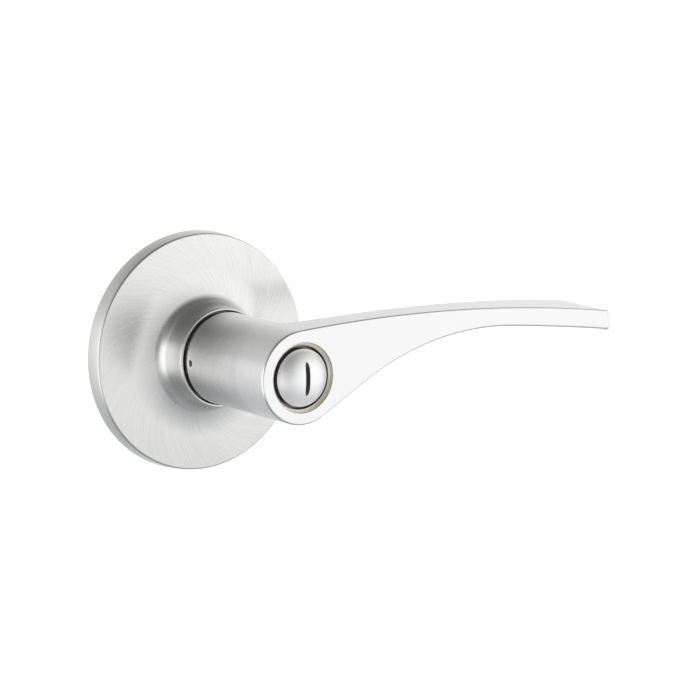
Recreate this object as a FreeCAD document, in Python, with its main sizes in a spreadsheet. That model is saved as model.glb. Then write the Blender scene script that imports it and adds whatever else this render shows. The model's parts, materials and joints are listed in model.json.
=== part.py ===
import FreeCAD, Part
import math
import os
import Sketcher

# The outside half of a privacy door lever set: a round rose, a curved lever on a hollow neck, the
# coin-slot privacy turn in the end of the neck, and the bearing, return spring and drive behind them.
# Frame: the origin is on the spindle axis in the plane of the door's face. +Z is up, the lever points
# to +X and the room is on the -Y side. Along the axis, places are given as "front": the distance out
# of the door's face towards the room, so front is -Y and a negative front lies inside the door.

SIZES = {
    # rose: a stamped dish with a trumpet-shaped collar
    "rose_radius": 33.9,
    "rose_edge_radius": 33.45,
    "rose_edge_round": 0.8,
    "rose_depth": 5.15,
    "rose_wall": 0.7,
    "rose_face_slope": 4.0,
    "collar_radius": 13.95,
    "collar_front": 17.0,
    "trumpet_radius": 4.3,
    "trumpet_foot": 20.2,
    "trumpet_foot_curve": 22.0,
    "trumpet_rise": 24.0,
    # mounting plate and bearing behind the rose
    "plate_radius": 32.5,
    "plate_thickness": 1.5,
    "plate_bore": 10.6,
    "tab_width": 8.0,
    "tab_thickness": 0.9,
    "tab_front": 3.9,
    "flange_radius": 25.6,
    "flange_thickness": 1.0,
    "boss_radius": 13.4,
    "boss_front": 8.5,
    "boss_slope": 0.7,
    "bearing_radius": 12.7,
    "bearing_front": 14.8,
    "bearing_bore": 10.15,
    "bushing_radius": 10.1,
    "bushing_rim": 12.4,
    "bushing_rim_thickness": 0.45,
    # through posts and screws
    "post_spacing": 38.1,
    "post_radius": 3.6,
    "post_length": 15.0,
    "post_neck_radius": 2.2,
    "post_head_radius": 3.1,
    "post_head_thickness": 0.8,
    "post_thread_radius": 2.05,
    "post_thread_length": 7.0,
    "screw_circle_radius": 23.2,
    "screw_head_radius": 2.2,
    "screw_head_height": 1.1,
    "screw_shank_radius": 1.2,
    "screw_drive_length": 3.3,
    "screw_drive_width": 0.6,
    # drive sleeve, cam and stops
    "sleeve_radius": 8.0,
    "sleeve_bore": 6.6,
    "sleeve_front": 42.0,
    "sleeve_back": -4.4,
    "fit_gap": 0.03,
    "running_gap": 0.05,
    "cam_radius": 13.0,
    "cam_front": -0.4,
    "cam_thickness": 1.5,
    "lug_inner": 18.6,
    "lug_outer": 20.4,
    "lug_width": 4.0,
    "lug_front": 4.9,
    "slot_gap": 0.4,
    "slot_half_angle": 57.0,
    "anchor_inner": 21.3,
    "anchor_outer": 22.7,
    "clip_groove_front": -2.6,
    "clip_groove_width": 1.0,
    "clip_groove_radius": 7.3,
    "clip_radius": 9.6,
    "clip_thickness": 0.8,
    "clip_play": 0.1,
    "washer_radius": 10.6,
    "thrust_washer_thickness": 0.45,
    # return spring
    "spring_radius": 15.2,
    "spring_wire": 0.6,
    "spring_pitch": 1.25,
    "spring_front": 3.2,
    "spring_leg_offset": 2.95,
    "spring_leg_end": 23.4,
    "spring_step": 16.6,
    "spring_turns": 2.0,
    # lever
    "neck_radius": 13.0,
    "neck_waist_radius": 820.0,
    "neck_rear": 16.1,
    "neck_chamfer_front": 17.9,
    "neck_straight_rear": 18.6,
    "neck_tail_radius": 12.7,
    "face_front": 57.55,
    "blade_thickness": 11.2,
    "blade_blank": 28.0,
    "top_peak": 37.0,
    "top_curve": 450.0,
    "underside_angle": 30.6,
    "underside_peak": 62.3,
    "underside_curve": 82.2,
    "underside_turn": 5.2,
    "underside_tail_curve": 700.0,
    "tip": 106.2,
    "tip_front": 104.1,
    "tip_flare_start": 25.0,
    "tip_flare_curve": 237.0,
    "tip_corner": 1.2,
    "face_round": 0.5,
    "back_round": 0.9,
    "rear_land_front": 24.0,
    "relief_radius": 9.0,
    "relief_slope": 1.0,
    "relief_front": 38.0,
    "web_front": 44.0,
    "web_radius": 6.4,
    "recess_radius": 9.66,
    # lever catch
    "catch_front": 20.2,
    "pinhole_radius": 0.95,
    "catch_seat": 11.4,
    "catch_end": 11.05,
    "catch_radius": 1.5,
    "catch_gap": 0.06,
    "catch_flange_radius": 2.3,
    "catch_flange_outer": 6.0,
    "catch_flange_thickness": 0.5,
    "catch_nose_round": 0.48,
    "leaf_thickness": 0.3,
    "leaf_width": 3.0,
    "leaf_anchor_front": 34.0,
    "leaf_bend_front": 27.0,
    "leaf_end_front": 18.4,
    "leaf_rise": 4.0,
    "leaf_wall_gap": 0.25,
    "leaf_catch_gap": 0.15,
    # square spindle and its plug
    "spindle_width": 7.94,
    "spindle_bore": 3.1,
    "spindle_front": 13.0,
    "spindle_length": 52.0,
    "plug_radius": 6.57,
    "plug_front": 12.0,
    "plug_back": -2.0,
    # privacy turn
    "bezel_front": 57.2,
    "bezel_back": 53.85,
    "bezel_radius": 9.62,
    "bezel_lip": 9.45,
    "bezel_bore": 8.45,
    "bezel_cone_front": 55.9,
    "button_radius": 7.95,
    "button_rim_front": 57.15,
    "button_rim_edge": 0.35,
    "button_apex": 60.1,
    "button_back": 54.3,
    "stem_radius": 3.5,
    "stem_back": 42.4,
    "coin_slot_width": 1.42,
    "coin_slot_cutter": 7.2,
    "coin_slot_depth": 2.5,
    "turn_groove_front": 49.0,
    "turn_groove_width": 3.0,
    "turn_groove_radius": 2.9,
    "turn_clip_front": 43.7,
    "turn_clip_thickness": 0.7,
    "turn_clip_groove": 2.7,
    "turn_clip_radius": 5.3,
    "turn_clip_play": 0.05,
    "housing_radius": 9.6,
    "housing_front": 53.8,
    "housing_back": 44.05,
    "ball_radius": 1.2,
    "ball_place": 4.5,
    "ball_hole": 1.3,
    "ball_spring_radius": 0.9,
    "ball_spring_wire": 0.15,
    "ball_spring_gap": 0.05,
    "ball_spring_turns": 6.0,
    "torque_blade_width": 4.2,
    "torque_blade_thickness": 1.1,
    "torque_blade_front": 47.2,
    "torque_blade_length": 91.2,
}
SHEET = "Dimensions"
FULL_TURN = 360.0
# how far a cutting or joining profile runs past the metal it meets
OVERRUN = 1.0
# shapes given as shares of another size
WIRE_BEND = 1.5
WIRE_ROOT = 0.9
RING_GAP = 0.4

doc = FreeCAD.newDocument("door_lever")


class Size:
    """A number together with the sheet expression that gives it."""

    def __init__(self, value, text):
        self.value = float(value)
        self.text = text

    def __add__(self, other):
        other = as_size(other)
        return Size(self.value + other.value, f"({self.text} + {other.text})")

    def __sub__(self, other):
        other = as_size(other)
        return Size(self.value - other.value, f"({self.text} - {other.text})")

    def __mul__(self, other):
        other = as_size(other)
        return Size(self.value * other.value, f"({self.text} * {other.text})")

    def __truediv__(self, other):
        other = as_size(other)
        return Size(self.value / other.value, f"({self.text} / {other.text})")

    def __neg__(self):
        return Size(-self.value, f"(0 - {self.text})")


def as_size(item):
    return item if isinstance(item, Size) else Size(item, f"({float(item)})")


def sine(angle):
    angle = as_size(angle)
    return Size(math.sin(math.radians(angle.value)), f"sin({angle.text})")


def cosine(angle):
    angle = as_size(angle)
    return Size(math.cos(math.radians(angle.value)), f"cos({angle.text})")


def root(square):
    return Size(math.sqrt(square.value), f"sqrt({square.text})")


def make_sheet():
    sheet = doc.addObject("Spreadsheet::Sheet", SHEET)
    for row, (name, value) in enumerate(SIZES.items(), start=1):
        sheet.set(f"A{row}", name.replace("_", " "))
        sheet.set(f"B{row}", str(value))
        sheet.setAlias(f"B{row}", name)
    doc.recompute()
    return sheet


def size(name):
    return Size(sheet.get(name), f"{SHEET}.{name}")


def bind(thing, attribute, value):
    """Ties one property of an object to the sheet."""
    thing.setExpression(attribute, as_size(value).text)


# ---- sketches and features ----

def new_body(label):
    body = doc.addObject("PartDesign::Body", label)
    body.Label = label
    return body


def new_sketch(body, name, plane, lift=None):
    """A sketch on one of the body's own origin planes; lift raises it along the plane's normal."""
    sketch = body.newObject("Sketcher::SketchObject", f"{body.Name}_{name}")
    support = [item for item in body.Origin.OriginFeatures if item.Role == plane][0]
    sketch.AttachmentSupport = [(support, "")]
    sketch.MapMode = "FlatFace"
    if lift is not None:
        sketch.setExpression("AttachmentOffset.Base.z", as_size(lift).text)
    return sketch


def pin_point(sketch, geometry, point, x, y):
    """Fixes a sketch point at x, y from the sketch's origin, bound to the sheet."""
    for kind, value in (("DistanceX", x), ("DistanceY", y)):
        value = as_size(value)
        index = sketch.addConstraint(Sketcher.Constraint(kind, -1, 1, geometry, point, value.value))
        sketch.setExpression(f"Constraints[{index}]", value.text)


def add_circle(sketch, x, y, radius):
    x, y, radius = as_size(x), as_size(y), as_size(radius)
    centre = FreeCAD.Vector(x.value, y.value, 0)
    circle = Part.Circle(centre, FreeCAD.Vector(0, 0, 1), radius.value)
    geometry = sketch.addGeometry(circle)
    pin_point(sketch, geometry, 3, x, y)
    index = sketch.addConstraint(Sketcher.Constraint("Radius", geometry, radius.value))
    sketch.setExpression(f"Constraints[{index}]", radius.text)


def arc_between(start, end, radius, turn):
    """The short arc from start to end; turn is +1 anticlockwise and -1 clockwise."""
    half = (end - start) * 0.5
    reach = math.sqrt(max(radius ** 2 - half.Length ** 2, 0.0))
    side = FreeCAD.Vector(-half.y, half.x, 0).normalize() * (reach * turn)
    centre = start + half + side
    first, last = (start, end) if turn > 0 else (end, start)
    begin = math.atan2(first.y - centre.y, first.x - centre.x)
    finish = math.atan2(last.y - centre.y, last.x - centre.x)
    circle = Part.Circle(centre, FreeCAD.Vector(0, 0, 1), radius)
    return Part.ArcOfCircle(circle, begin, finish)


def add_outline(sketch, corners):
    """A closed outline. A corner is (x, y), or (x, y, radius, turn) where an arc leaves it."""
    places = [(as_size(corner[0]), as_size(corner[1])) for corner in corners]
    ends = []
    for index, corner in enumerate(corners):
        x, y = places[index]
        next_x, next_y = places[(index + 1) % len(corners)]
        start = FreeCAD.Vector(x.value, y.value, 0)
        end = FreeCAD.Vector(next_x.value, next_y.value, 0)
        if len(corner) == 2:
            ends.append((sketch.addGeometry(Part.LineSegment(start, end)), 1, 2))
            continue
        radius, turn = as_size(corner[2]), corner[3]
        geometry = sketch.addGeometry(arc_between(start, end, radius.value, turn))
        row = sketch.addConstraint(Sketcher.Constraint("Radius", geometry, radius.value))
        sketch.setExpression(f"Constraints[{row}]", radius.text)
        ends.append((geometry, 1, 2) if turn > 0 else (geometry, 2, 1))
    for index, (geometry, first, last) in enumerate(ends):
        following = ends[(index + 1) % len(ends)]
        sketch.addConstraint(Sketcher.Constraint("Coincident", geometry, last, following[0], following[1]))
        pin_point(sketch, geometry, first, *places[index])


def spin(body, name, corners, kind="PartDesign::Revolution"):
    """A Revolution, or with kind a Groove, of (radius, front) corners about the spindle axis."""
    sketch = new_sketch(body, f"{name}_profile", "XY_Plane")
    add_outline(sketch, [(corner[0], -as_size(corner[1])) + tuple(flip(corner[2:])) for corner in corners])
    feature = body.newObject(kind, f"{body.Name}_{name}")
    feature.Profile = sketch
    feature.ReferenceAxis = (sketch, ["V_Axis"])
    feature.Angle = FULL_TURN
    doc.recompute()
    return feature


def flip(arc):
    """Front runs against the sketch's own Y, so an arc turns the other way there."""
    return (arc[0], -arc[1]) if arc else ()


def extrude(body, name, sketch, length, kind="PartDesign::Pad", reverse=False, middle=False):
    feature = body.newObject(kind, f"{body.Name}_{name}")
    feature.Profile = sketch
    bind(feature, "Length", length)
    feature.Reversed = reverse
    if middle:
        feature.SideType = "Symmetric"
    doc.recompute()
    return feature


def cut_through(body, name, sketch):
    """A Pocket through everything, to both sides of the sketch."""
    feature = body.newObject("PartDesign::Pocket", f"{body.Name}_{name}")
    feature.Profile = sketch
    feature.SideType = "Two sides"
    feature.Type = "ThroughAll"
    feature.Type2 = "ThroughAll"
    doc.recompute()
    return feature


def around(body, name, feature, count):
    """Repeats a feature evenly about the spindle axis."""
    axis = [item for item in body.Origin.OriginFeatures if item.Role == "Y_Axis"][0]
    pattern = body.newObject("PartDesign::PolarPattern", f"{body.Name}_{name}")
    pattern.Originals = [feature]
    pattern.Axis = (axis, [""])
    pattern.Angle = FULL_TURN
    pattern.Occurrences = count
    body.Tip = pattern
    doc.recompute()
    return pattern


def round_edges(body, name, radius, wanted, kind="PartDesign::Fillet", attribute="Radius"):
    """Fillets, or with kind chamfers, the edges of the body's tip for which wanted(edge) is true."""
    base = body.Tip
    names = [f"Edge{index}" for index, edge in enumerate(base.Shape.Edges, start=1) if wanted(edge)]
    feature = body.newObject(kind, f"{body.Name}_{name}")
    feature.Base = (base, names)
    bind(feature, attribute, radius)
    doc.recompute()
    return feature


def towards_room():
    """Turns a primitive that stands along +Z so that it stands out of the door, along -Y."""
    return FreeCAD.Placement(FreeCAD.Vector(0, 0, 0), FreeCAD.Rotation(FreeCAD.Vector(1, 0, 0), 90))


def rectangle_corners(half_width, half_height):
    return [(-half_width, -half_height), (half_width, -half_height),
            (half_width, half_height), (-half_width, half_height)]


# ---- rose ----

def make_rose_cover():
    """Rim, sloping face and trumpet, all one wall thick, open at the back."""
    body = new_body("rose_cover")
    wall = size("rose_wall")
    slope = size("rose_face_slope")
    edge_round = size("rose_edge_round")
    rim = size("rose_edge_radius")
    depth = size("rose_depth")
    collar = size("collar_radius")
    flare = size("trumpet_radius")
    foot = size("trumpet_foot")
    foot_curve = size("trumpet_foot_curve")
    rise = size("trumpet_rise")
    # a wide arc lifts the sloping face to a steeper cone, a tighter arc turns the cone into the collar
    face_start = rim - edge_round
    foot_front = (face_start - foot) * sine(slope) / cosine(slope) + depth
    corner_front = (foot - collar) * sine(rise) / cosine(rise) + foot_front
    half_turn = (rise - slope) * 0.5
    foot_reach = foot_curve * sine(half_turn) / cosine(half_turn)
    flare_reach = flare * cosine(rise) / (sine(rise) + 1)
    flare_end_front = corner_front + flare_reach
    foot_start_radius = foot + foot_reach * cosine(slope)
    foot_start_front = foot_front - foot_reach * sine(slope)
    foot_end_radius = foot - foot_reach * cosine(rise)
    foot_end_front = foot_front + foot_reach * sine(rise)
    flare_start_radius = collar + flare_reach * cosine(rise)
    flare_start_front = corner_front - flare_reach * sine(rise)
    spin(body, "shell", [
        (size("rose_radius"), 0),
        (rim, depth - edge_round, edge_round, 1),
        (face_start, depth),
        (foot_start_radius, foot_start_front, foot_curve, -1),
        (foot_end_radius, foot_end_front),
        (flare_start_radius, flare_start_front, flare, -1),
        (collar, flare_end_front),
        (collar, size("collar_front")),
        (collar - wall, size("collar_front")),
        (collar - wall, flare_end_front, flare + wall, 1),
        (flare_start_radius - wall * sine(rise), flare_start_front - wall * cosine(rise)),
        (foot_end_radius - wall * sine(rise), foot_end_front - wall * cosine(rise), foot_curve + wall, 1),
        (foot_start_radius - wall * sine(slope), foot_start_front - wall * cosine(slope)),
        (face_start - wall * sine(slope), depth - wall * cosine(slope)),
        (rim - wall, depth - edge_round),
        (size("rose_radius") - wall, 0),
    ])
    return body


def slot_corners(lug_inner, lug_outer, gap, half_angle):
    """An arc-shaped slot about the spindle axis, centred on the top."""
    inner = lug_inner - gap
    outer = lug_outer + gap
    across, up = sine(half_angle), cosine(half_angle)
    return [(inner * across, inner * up, inner, 1), (-inner * across, inner * up),
            (-outer * across, outer * up, outer, -1), (outer * across, outer * up)]


def drill_flange(body, front):
    """The lug slot, the two post holes and the four screw holes that plate and flange share."""
    slot = new_sketch(body, "lug_slot_outline", "XZ_Plane", front)
    add_outline(slot, slot_corners(size("lug_inner"), size("lug_outer"), size("slot_gap"),
                                   size("slot_half_angle")))
    cut_through(body, "lug_slot", slot)
    holes = new_sketch(body, "post_hole_circles", "XZ_Plane", front)
    for side in (-1, 1):
        add_circle(holes, size("post_spacing") * (side / 2), 0, size("post_neck_radius") + size("fit_gap"))
    cut_through(body, "post_holes", holes)
    screw = new_sketch(body, "screw_hole_circles", "XZ_Plane", front)
    for x, z in screw_places():
        add_circle(screw, x, z, size("screw_shank_radius") + size("fit_gap"))
    cut_through(body, "screw_holes", screw)


def screw_places():
    """Two screws below the post holes and two above them, clear of the lug slot."""
    reach = size("screw_circle_radius")
    return [(reach * cosine(angle), reach * sine(angle)) for angle in (40.0, 140.0, 220.0, 320.0)]


def make_mounting_plate():
    """The flat disc that bears on the door, with four bent tabs that the rose cover snaps over."""
    body = new_body("mounting_plate")
    disc = new_sketch(body, "disc_circles", "XZ_Plane")
    add_circle(disc, 0, 0, size("plate_radius"))
    add_circle(disc, 0, 0, size("plate_bore"))
    extrude(body, "disc", disc, size("plate_thickness"))
    drill_flange(body, 0)
    half_width = size("tab_width") / 2
    outer = size("plate_radius")
    inner = outer - size("tab_thickness")
    outer_rise = root(outer * outer - half_width * half_width)
    inner_rise = root(inner * inner - half_width * half_width)
    tab = new_sketch(body, "tab_outline", "XZ_Plane")
    add_outline(tab, [(half_width, inner_rise), (half_width, outer_rise, outer, 1),
                      (-half_width, outer_rise), (-half_width, inner_rise, inner, -1)])
    around(body, "tabs", extrude(body, "tab", tab, size("tab_front")), 4)
    return body


def make_bearing_collar():
    """A cast flange and tube that carries the bushing, with the return spring's anchor post."""
    body = new_body("bearing_collar")
    back = size("plate_thickness")
    step = back + size("flange_thickness")
    spin(body, "casting", [
        (size("bearing_bore"), back),
        (size("flange_radius"), back),
        (size("flange_radius"), step),
        (size("boss_radius"), step),
        (size("boss_radius"), size("boss_front")),
        (size("bearing_radius"), size("boss_front") + size("boss_slope")),
        (size("bearing_radius"), size("bearing_front")),
        (size("bearing_bore"), size("bearing_front")),
    ])
    drill_flange(body, back)
    anchor = new_sketch(body, "anchor_outline", "XZ_Plane", back)
    half_width = size("lug_width") / 2
    add_outline(anchor, [(-half_width, size("anchor_inner")), (half_width, size("anchor_inner")),
                         (half_width, size("anchor_outer")), (-half_width, size("anchor_outer"))])
    extrude(body, "anchor", anchor, size("lug_front") - back)
    return body


def make_nylon_bushing():
    body = new_body("nylon_bushing")
    bore = size("sleeve_radius") + size("running_gap")
    front = size("bearing_front") + size("bushing_rim_thickness")
    spin(body, "liner", [
        (bore, size("plate_thickness")),
        (size("bushing_radius"), size("plate_thickness")),
        (size("bushing_radius"), size("bearing_front")),
        (size("bushing_rim"), size("bearing_front")),
        (size("bushing_rim"), front),
        (bore, front),
    ])
    return body


def make_through_post(label, side):
    """A staked post that runs into the door; the inside half's screws thread into its end."""
    body = new_body(label)
    length = size("post_length")
    head_back = size("plate_thickness") + size("flange_thickness")
    spin(body, "turned", [
        (0, -length),
        (size("post_radius"), -length),
        (size("post_radius"), 0),
        (size("post_neck_radius"), 0),
        (size("post_neck_radius"), head_back),
        (size("post_head_radius"), head_back),
        (size("post_head_radius"), head_back + size("post_head_thickness")),
        (0, head_back + size("post_head_thickness")),
    ])
    hole = new_sketch(body, "thread_circle", "XZ_Plane", -length)
    add_circle(hole, 0, 0, size("post_thread_radius"))
    extrude(body, "thread", hole, size("post_thread_length"), "PartDesign::Pocket", reverse=True)
    bind(body, "Placement.Base.x", size("post_spacing") * (side / 2))
    return body


def make_collar_screws():
    """Four pan-head screws that hold the bearing collar on the mounting plate."""
    head_back = size("plate_thickness") + size("flange_thickness")
    screws = []
    for number, (x, z) in enumerate(screw_places(), start=1):
        head = doc.addObject("Part::Cylinder", f"screw_head_{number}")
        bind(head, "Radius", size("screw_head_radius"))
        bind(head, "Height", size("screw_head_height"))
        shank = doc.addObject("Part::Cylinder", f"screw_shank_{number}")
        bind(shank, "Radius", size("screw_shank_radius"))
        bind(shank, "Height", head_back)
        drive = doc.addObject("Part::Box", f"screw_drive_{number}")
        bind(drive, "Length", size("screw_drive_length"))
        bind(drive, "Width", size("screw_drive_width"))
        bind(drive, "Height", size("screw_head_height"))
        slot_x = x - size("screw_drive_length") / 2
        slot_z = z - size("screw_drive_width") / 2
        slot_front = head_back + size("screw_head_height") / 2
        for piece, place_x, front, place_z in ((head, x, head_back, z), (shank, x, as_size(0), z),
                                               (drive, slot_x, slot_front, slot_z)):
            piece.Placement = towards_room()
            bind(piece, "Placement.Base.x", place_x)
            bind(piece, "Placement.Base.y", -front)
            bind(piece, "Placement.Base.z", place_z)
        blank = doc.addObject("Part::Fuse", f"screw_blank_{number}")
        blank.Base, blank.Tool = head, shank
        screw = doc.addObject("Part::Cut", f"screw_{number}")
        screw.Base, screw.Tool = blank, drive
        screws.append(screw)
    group = doc.addObject("Part::Compound", "collar_screws")
    group.Label = "collar_screws"
    group.Links = screws
    doc.recompute()
    return group


def make_return_spring():
    """Two turns of round wire about the collar; both legs stand at the top, either side of the lug."""
    wire = size("spring_wire").value
    coil_radius = size("spring_radius").value
    offset = size("spring_leg_offset").value
    front = size("spring_front").value
    pitch = size("spring_pitch").value
    leg_end = size("spring_leg_end").value
    lead = math.degrees(math.asin(offset / coil_radius))
    rise = pitch * (size("spring_turns").value + 2 * lead / FULL_TURN)
    height = math.sqrt(coil_radius ** 2 - offset ** 2)
    # each leg reaches a little way into the coil, so that the two are one solid
    root_height = height - WIRE_ROOT * wire

    line = Part.Wire(Part.makeHelix(pitch, rise, coil_radius).Edges)
    section = Part.Wire(Part.makeCircle(wire, FreeCAD.Vector(coil_radius, 0, 0), FreeCAD.Vector(0, 1, 0)))
    coil = line.makePipeShell([section], True, True)
    # the coil is wound about +Z, then laid over so that its axis runs out of the door
    lay_over = FreeCAD.Rotation(FreeCAD.Vector(1, 0, 0), 90)
    start_turn = FreeCAD.Rotation(FreeCAD.Vector(0, 0, 1), 90 - lead)
    coil.Placement = FreeCAD.Placement(FreeCAD.Vector(0, -front, 0), lay_over * start_turn)

    near_leg = round_bar([FreeCAD.Vector(offset, -front, root_height),
                          FreeCAD.Vector(offset, -front, leg_end)], wire)
    step = size("spring_step").value
    far_leg = round_bar([FreeCAD.Vector(-offset, -front - rise, root_height),
                         FreeCAD.Vector(-offset, -front - rise, step),
                         FreeCAD.Vector(-offset, -front, step),
                         FreeCAD.Vector(-offset, -front, leg_end)], wire)
    spring = doc.addObject("Part::Feature", "return_spring")
    spring.Label = "return_spring"
    spring.Shape = coil.fuse([near_leg, far_leg])
    spring.Placement = FreeCAD.Placement()
    return spring


def round_bar(points, radius):
    """Round wire through points that turn square corners, each with a bend in it."""
    bend = WIRE_BEND * radius
    edges = []
    begin = points[0]
    for index in range(1, len(points) - 1):
        corner = points[index]
        arriving = (corner - points[index - 1]).normalize()
        leaving = (points[index + 1] - corner).normalize()
        first = corner - arriving * bend
        last = corner + leaving * bend
        centre = first + leaving * bend
        middle = centre + (arriving - leaving).normalize() * bend
        edges.append(Part.LineSegment(begin, first).toShape())
        edges.append(Part.Arc(first, middle, last).toShape())
        begin = last
    edges.append(Part.LineSegment(begin, points[-1]).toShape())
    section = Part.Wire(Part.makeCircle(radius, points[0], (points[1] - points[0]).normalize()))
    return Part.Wire(edges).makePipeShell([section], True, False)


def place_on_axis_circle(thing, angle, radius, front):
    """Sets a primitive at an angle and radius about the spindle axis, at a distance front."""
    bind(thing, "Placement.Base.x", radius * cosine(angle))
    bind(thing, "Placement.Base.y", -front)
    bind(thing, "Placement.Base.z", radius * sine(angle))


# ---- lever ----

def lever_outline():
    """The lever as seen square on: round head, long top arc, and an underside of three stretches."""
    head = size("neck_radius")
    peak, top = size("top_peak"), size("top_curve")
    top_drop = root((top - head) * (top - head) - peak * peak)
    top_scale = head / (top - head)
    angle = size("underside_angle")
    low = size("underside_curve")
    crest = size("underside_peak")
    # the line touches the head, and the arc above it touches the line and levels out at its crest
    touch_x, touch_z = head * sine(angle), -head * cosine(angle)
    arc_centre = (crest * sine(angle) - head - low) / cosine(angle)
    start_x = crest - low * sine(angle)
    start_z = arc_centre + low * cosine(angle)
    turn = size("underside_turn")
    tail = size("underside_tail_curve")
    turn_x = crest + low * sine(turn)
    turn_z = arc_centre + low * cosine(turn)
    tail_centre_x = turn_x - tail * sine(turn)
    tail_centre_z = turn_z - tail * cosine(turn)
    tip = size("tip") + OVERRUN
    tip_low = tail_centre_z + root(tail * tail - (tip - tail_centre_x) * (tip - tail_centre_x))
    tip_high = root(top * top - (tip - peak) * (tip - peak)) - top_drop
    return [
        (-peak * top_scale, top_drop * top_scale, head, 1),
        (-head, 0, head, 1),
        (touch_x, touch_z),
        (start_x, start_z, low, -1),
        (turn_x, turn_z, tail, -1),
        (tip, tip_low),
        (tip, tip_high, top, 1),
    ]


def make_lever():
    """Cast lever: a blade that widens towards its tip, on a hollow neck."""
    body = new_body("lever")
    face = size("face_front")
    blade = new_sketch(body, "blade_outline", "XZ_Plane", face)
    add_outline(blade, lever_outline())
    extrude(body, "blade", blade, size("blade_blank"), reverse=True)

    # seen from above, the back runs straight from the head and then sweeps back to the tip
    back = -(face - size("blade_thickness"))
    start = size("tip_flare_start")
    curve = size("tip_flare_curve")
    tip = size("tip")
    tip_back = back + curve - root(curve * curve - (tip - start) * (tip - start))
    beyond = tip + OVERRUN + OVERRUN
    behind = size("blade_blank") - face + OVERRUN
    ahead = -(face + OVERRUN)
    left = -(size("neck_radius") + OVERRUN)
    plan = new_sketch(body, "plan_outline", "XY_Plane")
    add_outline(plan, [(left, back), (start, back, curve, 1), (tip, tip_back), (size("tip_front"), ahead),
                       (beyond, ahead), (beyond, behind), (left, behind)])
    cut_through(body, "plan", plan)

    def along_tip_corner(edge):
        box = edge.BoundBox
        at_tip = box.XMin > size("tip_front").value - OVERRUN
        return at_tip and box.YLength > size("blade_thickness").value and box.ZLength < OVERRUN

    round_edges(body, "tip_corners", size("tip_corner"), along_tip_corner)

    def on_face(edge):
        return edge.BoundBox.YMax < -face.value + 0.01

    round_edges(body, "face_edge", size("face_round"), on_face)

    def on_back(edge):
        box = edge.BoundBox
        return box.YMin > back.value - 0.01 and box.XMin > start.value - 0.1

    round_edges(body, "back_edge", size("back_round"), on_back)

    neck = size("neck_radius")
    tail = size("neck_tail_radius")
    blade_back = face - size("blade_thickness")
    spin(body, "neck", [
        (0, blade_back + OVERRUN),
        (neck, blade_back + OVERRUN),
        (neck, blade_back, size("neck_waist_radius"), 1),
        (neck, size("neck_straight_rear")),
        (tail, size("neck_chamfer_front")),
        (tail, size("neck_rear")),
        (0, size("neck_rear")),
    ])
    land = size("sleeve_radius") + size("fit_gap")
    spin(body, "hollow", [
        (0, size("neck_rear") - OVERRUN),
        (land, size("neck_rear") - OVERRUN),
        (land, size("rear_land_front")),
        (size("relief_radius"), size("rear_land_front") + size("relief_slope")),
        (size("relief_radius"), size("relief_front") - size("relief_slope")),
        (land, size("relief_front")),
        (land, size("sleeve_front")),
        (size("web_radius"), size("sleeve_front")),
        (size("web_radius"), size("web_front")),
        (size("recess_radius"), size("web_front")),
        (size("recess_radius"), face + OVERRUN),
        (0, face + OVERRUN),
    ], "PartDesign::Groove")
    drill_to_side(body, "pinhole", size("pinhole_radius"), neck + OVERRUN)
    drill_to_side(body, "catch_seat", size("catch_radius") + size("catch_gap"), size("catch_seat"))
    return body


def drill_to_side(body, name, radius, reach):
    """A hole from the spindle axis out to -X, as far as reach, at the catch's place."""
    circle = new_sketch(body, f"{name}_circle", "YZ_Plane")
    add_circle(circle, -size("catch_front"), 0, radius)
    extrude(body, name, circle, reach, "PartDesign::Pocket")


def make_drive_sleeve():
    """The steel tube that the lever slides onto; it turns in the bushing."""
    body = new_body("drive_sleeve")
    outer, inner = size("sleeve_radius"), size("sleeve_bore")
    groove = size("clip_groove_front")
    spin(body, "tube", [
        (inner, size("sleeve_back")),
        (outer, size("sleeve_back")),
        (outer, groove - size("clip_groove_width")),
        (size("clip_groove_radius"), groove - size("clip_groove_width")),
        (size("clip_groove_radius"), groove),
        (outer, groove),
        (outer, size("sleeve_front")),
        (inner, size("sleeve_front")),
    ])
    drill_to_side(body, "catch_window", size("catch_radius") + size("catch_gap"), outer + OVERRUN)
    return body


def make_drive_plug():
    """Fills the sleeve's door end and passes its turn to the square spindle."""
    body = new_body("drive_plug")
    disc = new_sketch(body, "section", "XZ_Plane", size("plug_back"))
    add_circle(disc, 0, 0, size("plug_radius"))
    half = size("spindle_width") / 2 + size("fit_gap")
    add_outline(disc, rectangle_corners(half, half))
    extrude(body, "block", disc, size("plug_front") - size("plug_back"))
    return body


def make_spindle():
    body = new_body("spindle")
    section = new_sketch(body, "section", "XZ_Plane", size("spindle_front"))
    half = size("spindle_width") / 2
    add_outline(section, rectangle_corners(half, half))
    add_circle(section, 0, 0, size("spindle_bore"))
    extrude(body, "bar", section, size("spindle_length"), reverse=True)

    def at_door_end(edge):
        box = edge.BoundBox
        end = -(size("spindle_front") - size("spindle_length")).value
        straight = edge.Curve.TypeId == "Part::GeomLine"
        return straight and box.YMin > end - 0.01 and box.YLength < 0.01

    round_edges(body, "lead_in", size("face_round"), at_door_end, "PartDesign::Chamfer", "Size")
    return body


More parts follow.
